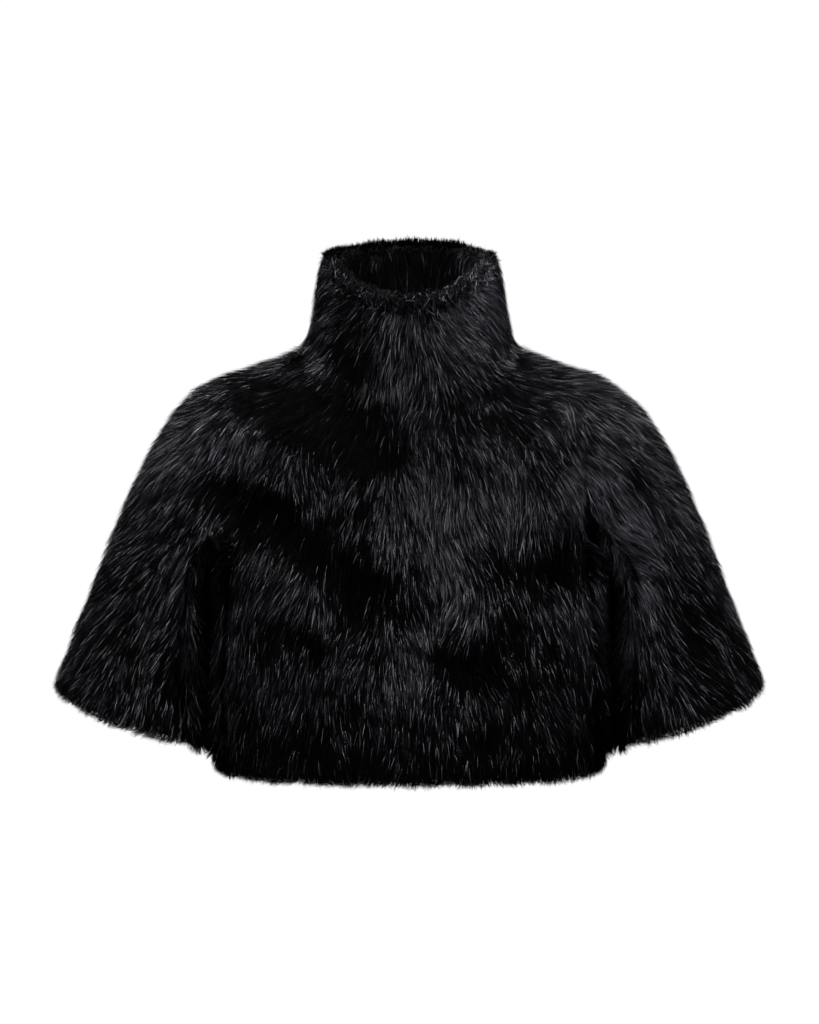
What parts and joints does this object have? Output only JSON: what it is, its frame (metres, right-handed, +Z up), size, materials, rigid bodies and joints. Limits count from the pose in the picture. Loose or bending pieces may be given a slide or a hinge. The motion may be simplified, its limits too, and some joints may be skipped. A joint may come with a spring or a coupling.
{
  "type": "faux fur bolero",
  "caption": "Cropped black faux fur bolero with a stand collar, wide elbow sleeves and a closed front, hollow and filled out as worn.",
  "frame": {"origin": "middle of the neck, level with the points where the shoulder seams meet the collar, where the wearer's neck and shoulders hold the garment", "axes": "+X to the wearer's left, +Y to the back, +Z up; the front faces -Y"},
  "size_m": [0.7082, 0.2994, 0.527],
  "materials": {
    "fur": "long glossy black pile brushed down and outwards from the neck",
    "facing_fur": "the same black pile, flattened, inside the collar"
  },
  "bodies": {
    "root": {"front_left": "fur", "front_right": "fur", "back": "fur", "sleeve_left": "fur", "sleeve_right": "fur", "collar": "fur", "collar_facing": "facing_fur"}
  },
  "joints": []
}
